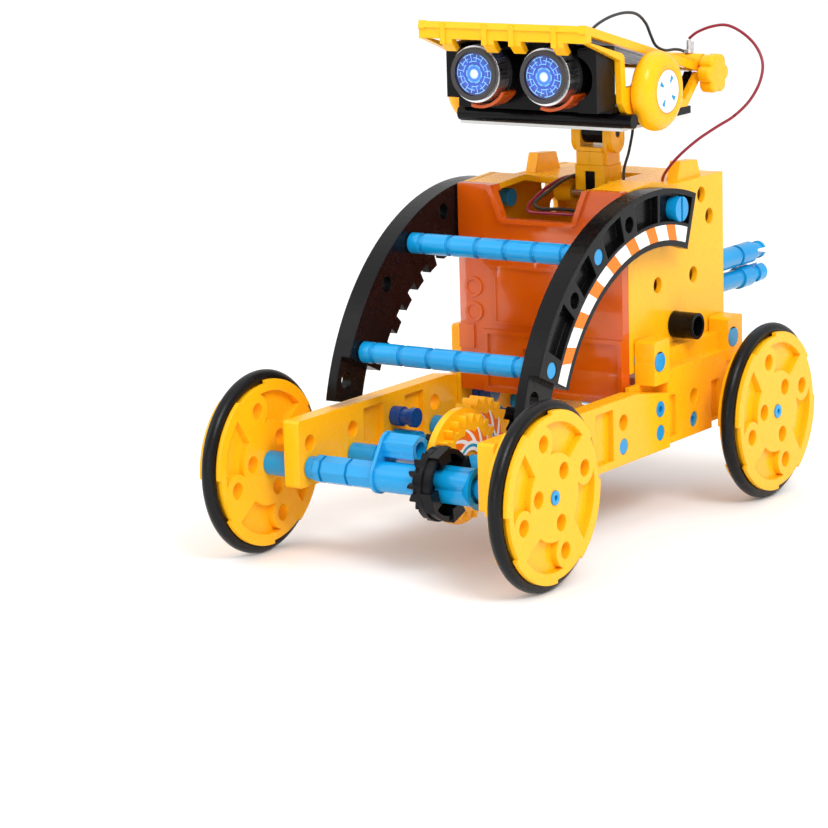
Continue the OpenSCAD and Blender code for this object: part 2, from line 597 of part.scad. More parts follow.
module eye_lugs() color(tape) for (s = [-1, 1]) difference() {
  yb(0.6, 8.6, s*eye_x, 149.6, 11.3, 64);
  yb(-1, 20, s*eye_x, 149.6, 10.25, 64);
  translate([s*eye_x, 0, 149.6]) rotate([90, 0, 0]) linear_extrude(30, center = true)
    polygon([[0, 0], [-6.4, -20], [-20, -20], [-20, 20], [20, 20], [20, -13]]);
}
module tiltbox(x0, x1, l0, l1, t0, t1) translate([0, -6.4, 167]) rotate([-panel_tilt, 0, 0]) box(x0, x1, l0, l1, t0, t1);
module panel_frame() color(yellow) {
  // visor
  difference() {
    box(-32, 32, -6.4, -3, 161.5, 166.4);
    box(-30, 30, -4.6, -2, 161, 165);
  }
  tiltbox(-32, 32, 0, 4, -2, 0.2);
  for (s = [-1, 1]) side(s) tiltbox(29.4, 32, 0, 76, -2.4, 0.4);
  tiltbox(-32, 32, 73, 76, -2.4, 0.2);
  // hooks
  for (x = [-21.3, -5.2, 5.2, 21.3]) {
    box(x - 2.2, x - 0.2, -6.9, -6.3, 159.8, 166.6);
    yz(x - 2.2, 4.4) polygon([[-6.4, 161.6], [-4.2, 161.6], [-1.6, 158.2], [-3.4, 157.2], [-6.2, 160]]);
  }
  // rear bar
  xb(-33.1, 33.1, 67.4, 149, 2.2);
}
module side_bracket(s) color(yellow) side(s)
  yz(30.1, 2.3) polygon([[-5.6, 161.45], [-3.4, 161.45], [15.4, 156.4], [16.8, 155.2], [17.4, 145], [24, 145], [28, 149],
    [56, 137], [65.6, 145.2], [67.4, 143.8], [57.6, 134.6], [22, 134.6], [17.2, 137], [15, 140], [14.2, 154.2]]);
module ear_disc(s) color(yellow) side(s) translate([0, 31.5, 142.7]) rotate([0, 90, 0]) {
  translate([0, 0, 32.4]) cylinder(r = ear_d/2 - 1.6, h = 7.6, $fn = 96);
  translate([0, 0, 34.2]) cylinder(r = ear_d/2, h = 3.6, $fn = 96);
  translate([0, 0, 32.6]) cylinder(r1 = ear_d/2 - 1.6, r2 = ear_d/2, h = 1.7, $fn = 96);
  translate([0, 0, 37.7]) cylinder(r1 = ear_d/2, r2 = ear_d/2 - 1.8, h = 2, $fn = 96);
}
module rear_knob(s) color(yellow) side(s) {
  for (a = [0:60:300]) translate([33.2, 68.9, 144.6]) rotate([a, 0, 0]) translate([0, 4.3, 0]) rotate([0, 90, 0])
    cylinder(r = 2.6, h = 5.2, $fn = 32);
  xb(33.2, 38.4, 68.9, 144.6, 5.6);
}
module solar_panel() color(dark) tiltbox(-29.2, 29.2, 4.2, 72.8, -1.6, 0.1);
module panel_terminals() color(silver) {
  for (x = [27.6, -27.6]) {
    translate([x, 67.4, 151.25]) { cylinder(r = 1.6, h = 1.2, $fn = 24); cylinder(r = 0.8, h = 4.4, $fn = 24); }
    translate([x - 0.4, 67, 152.2]) cube([0.8, 3.4, 2.6]);
  }
}

/* ---------- leads ---------- */
function vsub(a, b) = [a[0] - b[0], a[1] - b[1], a[2] - b[2]];
function unit(v) = v/norm(v);
// smooth point i of a route, m points per span
function cr(p, i, t) = let (n = len(p), a = p[max(i - 1, 0)], b = p[i], c = p[min(i + 1, n - 1)], d = p[min(i + 2, n - 1)])
  0.5*((2*b) + (c - a)*t + (2*a - 5*b + 4*c - d)*t*t + (3*b - a - 3*c + d)*t*t*t);
function route(p, m) = concat([for (i = [0:len(p) - 2]) for (k = [0:m - 1]) cr(p, i, k/m)], [p[len(p) - 1]]);
function tang(q, i) = unit(vsub(q[min(i + 1, len(q) - 1)], q[max(i - 1, 0)]));
module tube(p, r, m, n = 8) {
  q = route(p, m);
  k = len(q);
  pts = [for (i = [0:k - 1]) let (t = tang(q, i), u = unit(cross(t, abs(t[0]) < 0.9 ? [1, 0, 0] : [0, 1, 0])), v = cross(t, u))
    for (j = [0:n - 1]) q[i] + r*cos(j*360/n)*u + r*sin(j*360/n)*v];
  polyhedron(points = pts, faces = concat(
    [for (i = [0:k - 2]) for (j = [0:n - 1]) [i*n + j, i*n + (j + 1)%n, (i + 1)*n + (j + 1)%n, (i + 1)*n + j]],
    [[for (j = [n - 1:-1:0]) j]], [[for (j = [0:n - 1]) (k - 1)*n + j]]), convexity = 6);
}
black_route = [[25, 8, 163.5], [25, 10, 165], [25.1, 15, 166.6], [25.2, 22, 167.8], [25.4, 30, 168.1], [25.5, 37, 166.9],
  [25.5, 42.5, 163.5], [25.4, 46, 159], [25.2, 49.5, 155.4], [24.9, 56, 153.2], [24.7, 64, 152.7], [24.7, 70, 151],
  [24.7, 73, 146.4], [24.3, 73, 141.4], [22, 72, 137.2], [16.5, 69.4, 133.8], [11.8, 65.6, 130.8], [9.2, 62.2, 127.4],
  [9.6, 59.4, 123], [10.6, 55.4, 118], [11.7, 51, 114.4], [12.3, 49.1, 112], [12.4, 48.8, 109.75]];
red_route = [[27.8, 67.4, 156.15], [31, 67.4, 158.4], [36.4, 67.6, 160.4], [42.4, 67.4, 161], [48.4, 67.2, 158.6],
  [53.4, 67, 154.4], [56.4, 66, 149], [56.6, 63.6, 143], [54.4, 60.4, 137], [50, 57.6, 132], [44.6, 55.6, 128.4],
  [39, 53.4, 124.4], [34, 51.6, 120], [30, 51, 116], [26.4, 52, 112], [25, 53, 109.72]];
mred_route = [[9.8, 37, 94], [8.9, 37, 94.05], [7.6, 35.4, 96.6], [5, 31.5, 99.4], [0, 27.5, 100.4], [-5, 23.5, 101], [-8, 21, 101.6],
  [-9, 22.5, 103.4], [-9.2, 27, 105.4], [-9, 33, 107.6], [-8.6, 39, 109.2], [-8.3, 45, 110], [-8.2, 50, 109.6],
  [-8.2, 54.5, 107.6], [-8.2, 58, 104.8], [-8.4, 61, 102]];
mblack_route = [[9.8, 44, 94], [8.9, 44, 94.05], [7.4, 42.2, 97], [4, 37, 99.6], [0, 31, 101.4], [-3, 26, 102], [-5, 22.6, 102.6],
  [-6.4, 22, 104.4], [-6.8, 26, 105.6], [-6.8, 32, 107.2], [-6.7, 38, 108.9], [-6.6, 44, 110], [-6.6, 48.6, 110.4],
  [-6.6, 54, 109.2], [-6.7, 59, 106], [-7.4, 63, 102]];

module pair(y, tyre = false) for (s = [-1, 1]) if (tyre) color(black) tyre(s, y); else color(yellow) rim(s, y);
put() pair(-yax);  // rims_front
put() pair(yax);  // rims_rear
put() pair(-yax, true);  // tyres_front
put() pair(yax, true);  // tyres_rear
put() color(blue) hub_pin(-yax);  // hub_pins_front
put() color(blue) hub_pin(yax);  // hub_pins_rear
put() beam_front(1);  // beam_front_left
put() beam_front(-1);  // beam_front_right
put() chassis_side(1);  // chassis_side_left
put() chassis_side(-1);  // chassis_side_right
put() body_shell_left();
put() body_shell(-1);  // body_shell_right
put() gearbox_window();
put() motor();  // motor_can
put() motor_pinion();
put() compound_gear();
put() output_gear();
put() output_tube();
put() chain_gear();
put() chain_shaft();
put() idler_pinion();
put() idler_shaft();
put() crown_rear();  // crown_gear_rear
put() gear_shaft_rear();
put() crown_front();  // crown_gear_front
put() color(white) pinion(g1_y, a_s1);  // front_pinion
put() gear_shaft_front();
put() axle_front();
put() coupler();
put() drive_gear();
put() sleeve();  // fluted_sleeve
put() axle_rear();
put() arc(1, true);  // arc_left
put() arc(-1, false);  // arc_right
put() { cross_rod(119.9); cross_rod(153.8); }  // cross_rods
put() arc_pegs();
put() beam_pegs();
put() stub_pegs();
put() half_pins();
put() rear_pegs();
put() { neck_half(1); neck_half(-1); }  // neck_halves
put() neck_core();
put() neck_pin();
put() ear_pin();  // head_pin
put() head_tab();
put() base_plate();
put() eye_housing();
put() eye_barrel();  // eye_barrels
put() eye_bezel();  // eye_bezels
put() eye_lens();  // eye_lenses
put() eye_lugs();
put() panel_frame();
put() { side_bracket(1); side_bracket(-1); }  // side_brackets
put() solar_panel();
put() { ear_disc(1); ear_disc(-1); }  // ear_discs
put() { rear_knob(1); rear_knob(-1); }  // rear_knobs
put() panel_terminals();
put() color(red) tube(red_route, lead_d/2, 3);  // red_lead
put() color(black) tube(black_route, lead_d/2, 3);  // black_lead
put() {  // motor_leads
  color(red) tube(mred_route, mlead_d/2, 3);
  color(black) tube(mblack_route, mlead_d/2, 3);
}
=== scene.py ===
import bpy
import bmesh
import json
import math
from mathutils import Vector, Matrix


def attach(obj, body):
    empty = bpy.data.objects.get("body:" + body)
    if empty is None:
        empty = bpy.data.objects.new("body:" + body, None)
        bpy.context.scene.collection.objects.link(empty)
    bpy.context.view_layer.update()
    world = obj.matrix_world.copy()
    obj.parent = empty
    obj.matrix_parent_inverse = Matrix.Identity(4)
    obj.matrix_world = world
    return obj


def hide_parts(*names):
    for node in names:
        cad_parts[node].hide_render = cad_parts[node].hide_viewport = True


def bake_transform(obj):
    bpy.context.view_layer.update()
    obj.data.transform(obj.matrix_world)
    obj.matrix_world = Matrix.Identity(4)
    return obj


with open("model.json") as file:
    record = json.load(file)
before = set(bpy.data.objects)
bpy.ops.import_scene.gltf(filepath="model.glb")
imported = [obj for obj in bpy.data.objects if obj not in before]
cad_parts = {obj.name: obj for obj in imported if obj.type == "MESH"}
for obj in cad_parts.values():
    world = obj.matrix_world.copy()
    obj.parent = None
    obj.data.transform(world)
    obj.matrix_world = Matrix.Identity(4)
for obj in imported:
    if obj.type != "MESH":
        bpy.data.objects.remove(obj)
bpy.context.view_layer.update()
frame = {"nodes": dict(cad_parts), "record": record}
nodes = frame["nodes"]
OY = -6.6  # the model's own offset along Y, in mm
AXLE_Z = 30.0  # height of all axles and gear shafts, in mm
EAR_Y, EAR_Z = 31.5, 142.7  # middle of the ear discs, in mm


def P(x, y, z):
    """A point of the design frame in mm, as a point of the scene in metres."""
    return Vector((x / 1000, (y + OY) / 1000, z / 1000))


# ------------------------------------------------------------------ camera
LENS_PX, IMAGE_PX, SENSOR_MM = 3403.9, 828, 36
DISTANCE_MM, AIM_Z_MM = 1121.6, 80
SHIFT_RIGHT_MM, SHIFT_UP_MM = -35.1, -41.0
az, el, roll = math.radians(34.34), math.radians(11.84), math.radians(-1.60)
back = Vector((math.sin(az) * math.cos(el), -math.cos(az) * math.cos(el), math.sin(el)))
right = Vector((math.cos(az), math.sin(az), 0))
up = back.cross(right)
spot = P(0, 0, AIM_Z_MM) + (back * DISTANCE_MM + right * SHIFT_RIGHT_MM + up * SHIFT_UP_MM) / 1000
right2 = right * math.cos(roll) + up * math.sin(roll)
up2 = up * math.cos(roll) - right * math.sin(roll)
cam_data = bpy.data.cameras.new("camera")
cam = bpy.data.objects.new("camera", cam_data)
bpy.context.scene.collection.objects.link(cam)
cam_data.sensor_width = SENSOR_MM
cam_data.lens = SENSOR_MM * LENS_PX / IMAGE_PX
cam_data.clip_start, cam_data.clip_end = 0.05, 50
m = Matrix((right2, up2, back)).transposed().to_4x4()
m.translation = spot
cam.matrix_world = m
bpy.context.scene.camera = cam

# ------------------------------------------------------------------ light


def area(name, loc, aim, size, power):
    """A white rectangular lamp: place and aim in metres, size in metres, power in watts."""
    d = bpy.data.lights.new(name, "AREA")
    d.shape = "RECTANGLE"
    d.size, d.size_y = size
    d.energy = power
    o = bpy.data.objects.new(name, d)
    bpy.context.scene.collection.objects.link(o)
    o.location = loc
    o.rotation_mode = "QUATERNION"
    o.rotation_quaternion = (Vector(aim) - Vector(loc)).to_track_quat("-Z", "Y")
    return o


area("key", (1.2, -0.72, 1.33), (0, 0, 0.1), (0.7, 0.7), 19.0)
area("fill", (-0.9, -0.7, 0.6), (0, 0, 0.08), (0.8, 0.8), 3.0)
area("front", (0.35, -1.2, 0.25), (0, 0, 0.08), (0.7, 0.4), 1.6)
area("top", (0.0, 0.6, 2.5), (0, 0.6, 0), (5, 5), 42.0)
bpy.context.scene.view_settings.view_transform = "Standard"
world = bpy.data.worlds.new("world")
bpy.context.scene.world = world
world.use_nodes = True
wb = world.node_tree.nodes["Background"]
wb.inputs[0].default_value = (1, 1, 1, 1)
wb.inputs[1].default_value = 0.8

# ------------------------------------------------------------------ materials


def is_socket(v):
    return hasattr(v, "is_linked")


class G:
    """A small helper that writes one node material."""

    def __init__(self, name):
        self.m = bpy.data.materials.new(name)
        self.m.use_nodes = True
        self.t = self.m.node_tree
        self.b = self.t.nodes["Principled BSDF"]
        self.tc = self.n("ShaderNodeTexCoord")
        self.co = self.tc.outputs["Object"]

    def n(self, kind, **k):
        x = self.t.nodes.new(kind)
        for a, b in k.items():
            setattr(x, a, b)
        return x

    def l(self, a, b):
        self.t.links.new(a, b)

    def put(self, sock, v):
        """Link a socket, or set a plain value."""
        if is_socket(v):
            self.l(v, sock)
        else:
            sock.default_value = v

    def math(self, op, a, b=0.0):
        x = self.n("ShaderNodeMath", operation=op)
        for s, v in zip(x.inputs, (a, b)):
            self.put(s, v)
        return x.outputs[0]

    def noise(self, scale, detail=3.0, rough=0.5):
        x = self.n("ShaderNodeTexNoise")
        self.l(self.co, x.inputs["Vector"])
        x.inputs["Scale"].default_value = scale
        x.inputs["Detail"].default_value = detail
        x.inputs["Roughness"].default_value = rough
        return x.outputs["Fac"]

    def ramp(self, f, stops):
        x = self.n("ShaderNodeValToRGB")
        e = x.color_ramp.elements
        while len(e) < len(stops):
            e.new(0.5)
        for i, (p, c) in enumerate(stops):
            e[i].position = p
            e[i].color = (*c, 1)
        self.l(f, x.inputs[0])
        return x.outputs[0]

    def mix(self, f, a, b):
        x = self.n("ShaderNodeMix", data_type="RGBA")
        self.put(x.inputs[0], f)
        for i, v in ((6, a), (7, b)):
            self.put(x.inputs[i], v if is_socket(v) else (*v[:3], 1))
        return x.outputs[2]

    def range(self, f, a, b, c, d):
        """f mapped from a..b to c..d, held at the ends."""
        x = self.n("ShaderNodeMapRange")
        self.l(f, x.inputs[0])
        for i, v in enumerate((a, b, c, d)):
            x.inputs[i + 1].default_value = v
        return x.outputs[0]

    def near(self, v, w):
        """1 where |v| < w."""
        return self.math("LESS_THAN", self.math("ABSOLUTE", v), w)

    def all(self, *f):
        """1 where every mask is 1."""
        out = f[0]
        for x in f[1:]:
            out = self.math("MULTIPLY", out, x)
        return out

    def polar(self, cy, cz):
        """Radius in mm and angle in turns round a point of the side plane, given in design mm."""
        x, y, z = self.xyz()
        u = self.math("MULTIPLY", self.math("SUBTRACT", y, (cy + OY) / 1000), 1000.0)
        v = self.math("MULTIPLY", self.math("SUBTRACT", z, cz / 1000), 1000.0)
        r = self.math("SQRT", self.math("ADD", self.math("MULTIPLY", u, u), self.math("MULTIPLY", v, v)))
        return r, self.math("DIVIDE", self.math("ARCTAN2", v, u), 2 * math.pi)

    def facing_x(self, x0, both=False):
        """1 on the face that looks along +X beyond x0 mm, or on both outer faces."""
        n = self.n("ShaderNodeSeparateXYZ")
        self.l(self.tc.outputs["Normal"], n.inputs[0])
        x = self.xyz()[0]
        nx = n.outputs[0]
        if both:
            nx = self.math("MULTIPLY", nx, self.math("SIGN", x))
            x = self.math("ABSOLUTE", x)
        return self.all(self.math("GREATER_THAN", nx, 0.9), self.math("GREATER_THAN", x, x0 / 1000))

    def xyz(self):
        x = self.n("ShaderNodeSeparateXYZ")
        self.l(self.co, x.inputs[0])
        return x.outputs

    def bump(self, height, strength, dist, radius=0.00035):
        """Bump over edges rounded by radius, in m."""
        x = self.n("ShaderNodeBump")
        x.inputs["Strength"].default_value = strength
        x.inputs["Distance"].default_value = dist
        self.l(height, x.inputs["Height"])
        if radius:
            y = self.n("ShaderNodeBevel", samples=4)
            y.inputs["Radius"].default_value = radius
            self.l(y.outputs[0], x.inputs["Normal"])
        self.l(x.outputs[0], self.b.inputs["Normal"])


def plastic(name, light, dark, rough=(0.2, 0.32), bump=0.12, grain=1600, sss=0.0, coat=0.0,
            radius=0.00035, decal=None, spec=0.5):
    """Moulded plastic: slow colour drift, fine grain, soft waviness and rounded edges of the given radius."""
    g = G(name)
    big = g.noise(38, 2)
    fine = g.noise(grain, 3, 0.6)
    col = g.mix(g.range(big, 0.35, 0.65, 0, 1), dark, light)
    if decal:
        col = decal(g, col)
    g.l(col, g.b.inputs["Base Color"])
    scratch = g.noise(260, 6, 0.7)
    worn = g.math("ADD", g.math("MULTIPLY", scratch, 0.7), g.math("MULTIPLY", fine, 0.3))
    g.l(g.range(worn, 0.36, 0.64, rough[0], rough[1]), g.b.inputs["Roughness"])
    g.b.inputs["Specular IOR Level"].default_value = spec
    if sss:
        g.b.inputs["Subsurface Weight"].default_value = sss
        g.b.inputs["Subsurface Radius"].default_value = (1.0, 0.5, 0.15)
        g.b.inputs["Subsurface Scale"].default_value = 0.002
    if coat:
        g.b.inputs["Coat Weight"].default_value = coat
        g.b.inputs["Coat Roughness"].default_value = 0.08
    soft = g.noise(90, 2)
    g.bump(g.math("ADD", g.math("MULTIPLY", fine, 0.25), g.math("MULTIPLY", soft, 0.75)), bump, 0.00025, radius)
    return g.m


PAPER = (0.9, 0.9, 0.89)


def arc_sticker(g, col):
    """White band with slanted orange stripes on the outer face of an arc."""
    middle_r, middle_deg, first_deg, period_deg, slant = 66.5, 114.5, 73.0, 11.0, -0.036
    r, a = g.polar(24, AXLE_Z)
    deg = g.math("MULTIPLY", a, 360.0)
    off = g.math("SUBTRACT", r, middle_r)
    along = g.math("SUBTRACT", deg, middle_deg)
    band = g.all(g.facing_x(39.3, True), g.near(off, 2.55), g.near(along, 41.5))
    turn = g.math("DIVIDE", g.math("SUBTRACT", deg, first_deg), period_deg)
    t = g.math("FRACT", g.math("ADD", turn, g.math("MULTIPLY", off, slant)))
    stripe = g.all(g.math("GREATER_THAN", t, 0.55), g.near(along, 37.5))
    return g.mix(band, col, g.mix(stripe, PAPER, (0.92, 0.19, 0.008)))


def gear_sticker(cy, face):
    """Flame ring round a gear's hub: orange with white swirls, inside a white ring with a blue line."""
    def decal(g, col):
        flames, root_r = 12.0, 8.4
        r, a = g.polar(cy, AXLE_Z)
        on = g.all(g.facing_x(face), g.math("GREATER_THAN", r, 5.55))
        lean = g.math("MULTIPLY", g.math("SUBTRACT", r, root_r), -0.2)
        sweep = g.math("SUBTRACT", g.math("FRACT", g.math("ADD", g.math("MULTIPLY", a, flames), lean)), 0.5)
        spoke = g.near(sweep, g.range(r, 8.2, 12.3, 0.24, 0.1))
        tip = g.math("ADD", g.math("MULTIPLY", g.math("ABSOLUTE", sweep), -3.2), 13.0)
        outer = g.all(g.math("LESS_THAN", r, tip), g.math("GREATER_THAN", r, root_r), on)
        c = g.mix(outer, col, (0.9, 0.17, 0.006))
        c = g.mix(g.all(outer, spoke), c, PAPER)
        c = g.mix(g.all(on, g.math("LESS_THAN", r, 8.6)), c, PAPER)
        return g.mix(g.all(on, g.near(g.math("SUBTRACT", r, 7.1), 0.5)), c, (0.015, 0.3, 0.47))
    return decal


def ear_sticker(g, col):
    """White disc with a thin orange edge and four blue marks."""
    r, a = g.polar(EAR_Y, EAR_Z)
    on = g.facing_x(39.2, True)
    c = g.mix(g.all(on, g.math("LESS_THAN", r, 7.35)), col, (0.85, 0.2, 0.01))
    c = g.mix(g.all(on, g.math("LESS_THAN", r, 7.0)), c, (0.95, 0.95, 0.94))
    q = g.math("SUBTRACT", g.math("FRACT", g.math("ADD", g.math("MULTIPLY", a, 4.0), -0.13)), 0.5)
    wide = g.math("MULTIPLY", q, g.math("MULTIPLY", r, math.pi / 2))
    mark = g.all(on, g.near(wide, g.range(r, 3.0, 5.5, 0.35, 0.95)), g.near(g.math("SUBTRACT", r, 4.3), 1.25))
    return g.mix(mark, c, (0.008, 0.27, 0.56))


def pale_lip(g, col):
    """The clear strip under the head plate, seen as a pale line."""
    return g.mix(g.math("LESS_THAN", g.xyz()[2], 0.13205), col, (0.7, 0.7, 0.68))


YEL = dict(light=(1.0, 0.475, 0.006), dark=(0.99, 0.455, 0.005), rough=(0.2, 0.32), bump=0.06,
           sss=0.1, coat=0.1, spec=0.22)
BLK = dict(light=(0.004, 0.004, 0.005), dark=(0.0025, 0.0025, 0.003), rough=(0.16, 0.3), bump=0.12, spec=0.14)
YELLOW = plastic("yellow_plastic", **YEL, radius=0.0005)
GEAR_F = plastic("yellow_gear_front", **YEL, decal=gear_sticker(-48, 11.8))
GEAR_R = plastic("yellow_gear_rear", **YEL, decal=gear_sticker(-24, 0.8))
EAR = plastic("yellow_ear", **YEL, decal=ear_sticker, radius=0.0006)
BLUE = plastic("blue_plastic", (0.004, 0.31, 0.66), (0.003, 0.27, 0.6), (0.16, 0.28), 0.08,
               sss=0.05, coat=0.2, spec=0.3)
DBLUE = plastic("dark_blue_plastic", (0.004, 0.07, 0.3), (0.003, 0.05, 0.24), (0.2, 0.32), 0.1, coat=0.2, spec=0.3)
BLACK = plastic("black_plastic", **BLK)
BASE = plastic("black_base", **BLK, decal=pale_lip)
ARC = plastic("black_arc", (0.004, 0.004, 0.0045), (0.0025, 0.0025, 0.003), (0.18, 0.32), 0.12,
              spec=0.15, decal=arc_sticker, radius=0.0005)
WHITE = plastic("white_plastic", (0.82, 0.82, 0.8), (0.78, 0.78, 0.75), (0.3, 0.42), 0.1, sss=0.1)
GREY = plastic("grey_plastic", (0.032, 0.027, 0.027), (0.022, 0.02, 0.02), (0.35, 0.5), 0.1)
TYRE = plastic("tyre_rubber", (0.005, 0.005, 0.0055), (0.003, 0.003, 0.0035), (0.24, 0.38), 0.25, grain=900, spec=0.2)


def clear_orange():
    """See-through orange plastic with a glossy skin."""
    g = G("orange_clear")
    drift = g.range(g.noise(30, 2), 0.3, 0.7, 0, 1)
    g.l(g.mix(drift, (0.78, 0.1, 0.001), (0.88, 0.15, 0.002)), g.b.inputs["Base Color"])
    g.b.inputs["Transmission Weight"].default_value = 0.15
    g.b.inputs["Alpha"].default_value = 0.68
    g.b.inputs["IOR"].default_value = 1.45
    g.l(g.range(g.noise(200, 4), 0.4, 0.6, 0.08, 0.18), g.b.inputs["Roughness"])
    g.b.inputs["Coat Weight"].default_value = 0.5
    g.b.inputs["Coat Roughness"].default_value = 0.04
    g.bump(g.noise(60, 2), 0.08, 0.0003, 0.0004)
    return g.m


def metal(name, color, rough, aniso_axis=0):
    """Drawn metal: noise stretched along one axis drives colour, roughness and bump."""
    g = G(name)
    s = g.xyz()
    comb = g.n("ShaderNodeCombineXYZ")
    for i in range(3):
        g.l(g.math("MULTIPLY", s[i], 40.0 if i == aniso_axis else 1400.0), comb.inputs[i])
    x = g.n("ShaderNodeTexNoise")
    g.l(comb.outputs[0], x.inputs["Vector"])
    x.inputs["Scale"].default_value = 1.0
    x.inputs["Detail"].default_value = 3.0
    g.l(g.mix(x.outputs["Fac"], [c * 0.86 for c in color], color), g.b.inputs["Base Color"])
    g.b.inputs["Metallic"].default_value = 1.0
    g.l(g.range(x.outputs["Fac"], 0.3, 0.7, rough * 0.75, rough * 1.3), g.b.inputs["Roughness"])
    g.bump(x.outputs["Fac"], 0.05, 0.0001, 0.0003)
    return g.m


ORANGE_CLEAR = clear_orange()
STEEL = metal("motor_steel", (0.62, 0.62, 0.64), 0.3)
CHROME = metal("eye_chrome", (0.93, 0.93, 0.94), 0.3, 1)
TIN = metal("terminal_tin", (0.72, 0.72, 0.73), 0.28)


def lens():
    """Round printed eye behind a clear dome: rings and broken circuit lines round a white middle; the lines and the
    middle carry a painted glow.
    """
    g = G("lens_blue")
    eye_x, eye_z, eye_r = 0.0134, 0.1499, 7.2  # m, m, mm
    rings_per_mm, spokes_per_radian = 0.85, 2.546
    x, _, z = g.xyz()
    dx = g.math("SUBTRACT", g.math("ABSOLUTE", x), eye_x)
    dz = g.math("SUBTRACT", z, eye_z)
    square = g.math("ADD", g.math("MULTIPLY", dx, dx), g.math("MULTIPLY", dz, dz))
    r = g.math("MULTIPLY", g.math("SQRT", square), 1000.0)
    a = g.math("ARCTAN2", dz, g.math("MULTIPLY", dx, g.math("SIGN", x)))
    base = g.ramp(g.math("DIVIDE", r, eye_r), [
        (0.0, (1, 1, 1)), (0.11, (0.9, 0.97, 1)), (0.2, (0.25, 0.55, 1)), (0.27, (0.012, 0.1, 0.62)),
        (0.37, (0.05, 0.3, 0.95)), (0.44, (0.008, 0.05, 0.4)), (0.62, (0.01, 0.08, 0.58)),
        (0.8, (0.008, 0.045, 0.36)), (1.0, (0.004, 0.008, 0.09))])
    # broken rings: rings in r, gates in angle
    ring_no = g.math("MULTIPLY", r, rings_per_mm)
    ring = g.near(g.math("SUBTRACT", g.math("FRACT", ring_no), 0.5), 0.1)
    jump = g.math("MULTIPLY", g.math("FLOOR", ring_no), 0.37)
    gate = g.math("GREATER_THAN", g.math("FRACT", g.math("ADD", g.math("MULTIPLY", a, 0.95), jump)), 0.38)
    line = g.all(ring, gate, g.math("GREATER_THAN", r, 2.2), g.math("LESS_THAN", r, 6.6))
    spoke = g.near(g.math("SUBTRACT", g.math("FRACT", g.math("MULTIPLY", a, spokes_per_radian)), 0.5), 0.05)
    spoke = g.all(spoke, g.math("GREATER_THAN", r, 4.2), g.math("LESS_THAN", r, 6.4))
    line = g.math("MAXIMUM", line, spoke)
    col = g.mix(g.math("MULTIPLY", line, 0.8), base, (0.2, 0.55, 1.0))
    g.l(col, g.b.inputs["Base Color"])
    g.l(g.range(g.noise(500, 3), 0.4, 0.6, 0.04, 0.09), g.b.inputs["Roughness"])
    g.b.inputs["Coat Weight"].default_value = 1.0
    g.b.inputs["Coat Roughness"].default_value = 0.02
    # painted glow: the printed lines and the white middle emit light, though the eye holds no lamp
    g.l(g.math("MULTIPLY", g.math("MAXIMUM", line, g.math("LESS_THAN", r, 1.3)), 0.4), g.b.inputs["Emission Strength"])
    g.l(col, g.b.inputs["Emission Color"])
    g.bump(line, 0.05, 0.0001, 0)
    return g.m


def cells():
    """Solar cells: strips of dark blue wafer with thin silver fingers and one bus line each."""
    g = G("solar_cell")
    strip_mm, fingers_per_mm, keep_positive = 14.6, 0.8, 100.0
    x, y, _ = g.xyz()
    u = g.math("MULTIPLY", x, 1000.0)
    v = g.math("MULTIPLY", y, 1000.0)
    fing = g.math("LESS_THAN", g.math("FRACT", g.math("MULTIPLY", v, fingers_per_mm)), 0.12)
    strip = g.math("FRACT", g.math("ADD", g.math("DIVIDE", u, strip_mm), keep_positive))
    gap = g.math("LESS_THAN", strip, 0.05)
    bus = g.near(g.math("SUBTRACT", strip, 0.52), 0.045)
    base = g.mix(g.noise(240, 5), (0.012, 0.016, 0.06), (0.03, 0.045, 0.14))
    col = g.mix(g.math("MULTIPLY", fing, 0.6), base, (0.35, 0.38, 0.45))
    col = g.mix(bus, col, (0.55, 0.56, 0.6))
    col = g.mix(gap, col, (0.75, 0.76, 0.78))
    g.l(col, g.b.inputs["Base Color"])
    g.b.inputs["Specular IOR Level"].default_value = 0.2
    g.b.inputs["Coat Weight"].default_value = 0.05
    g.b.inputs["Coat Roughness"].default_value = 0.25
    g.l(g.range(g.noise(90, 2), 0.3, 0.7, 0.3, 0.42), g.b.inputs["Roughness"])
    g.bump(g.noise(120, 2), 0.04, 0.0002, 0.0003)
    return g.m


LENS = lens()
CELLS = cells()
LRED = plastic("lead_red", (0.26, 0.003, 0.022), (0.2, 0.002, 0.016), (0.28, 0.4), 0.1, radius=0)
LBLACK = plastic("lead_black", (0.02, 0.02, 0.021), (0.013, 0.013, 0.014), (0.3, 0.42), 0.1, radius=0)

by_slot = {"yellow_plastic": YELLOW, "tyre_rubber": TYRE, "orange_clear": ORANGE_CLEAR, "motor_steel": STEEL,
    "white_plastic": WHITE, "black_plastic": BLACK, "blue_plastic": BLUE, "dark_blue_plastic": DBLUE,
    "eye_chrome": CHROME, "grey_plastic": GREY, "lens_blue": LENS, "solar_cell": CELLS,
    "terminal_tin": TIN, "lead_red": LRED, "lead_black": LBLACK}
slot_of = {s["node"]: s["material_slot"] for s in frame["record"]["subparts"]}
for name, o in nodes.items():
    o.data.materials.clear()
    o.data.materials.append(by_slot[slot_of[name]])
for name, mat in (("crown_gear_front", GEAR_F), ("crown_gear_rear", GEAR_R), ("ear_discs", EAR),
                  ("arc_left", ARC), ("arc_right", ARC), ("base_plate", BASE)):
    nodes[name].data.materials[0] = mat

# floor
bpy.ops.mesh.primitive_plane_add(size=8, location=(0, 0, 0))
floor = bpy.context.object
floor.name = "floor"
fg = G("floor")
floor_drift = fg.range(fg.noise(3, 2), 0.3, 0.7, 0, 1)
fg.l(fg.mix(floor_drift, (0.94, 0.94, 0.94), (0.96, 0.96, 0.96)), fg.b.inputs["Base Color"])
fg.b.inputs["Roughness"].default_value = 0.6
floor.data.materials.append(fg.m)

# ------------------------------------------------------------------ leads


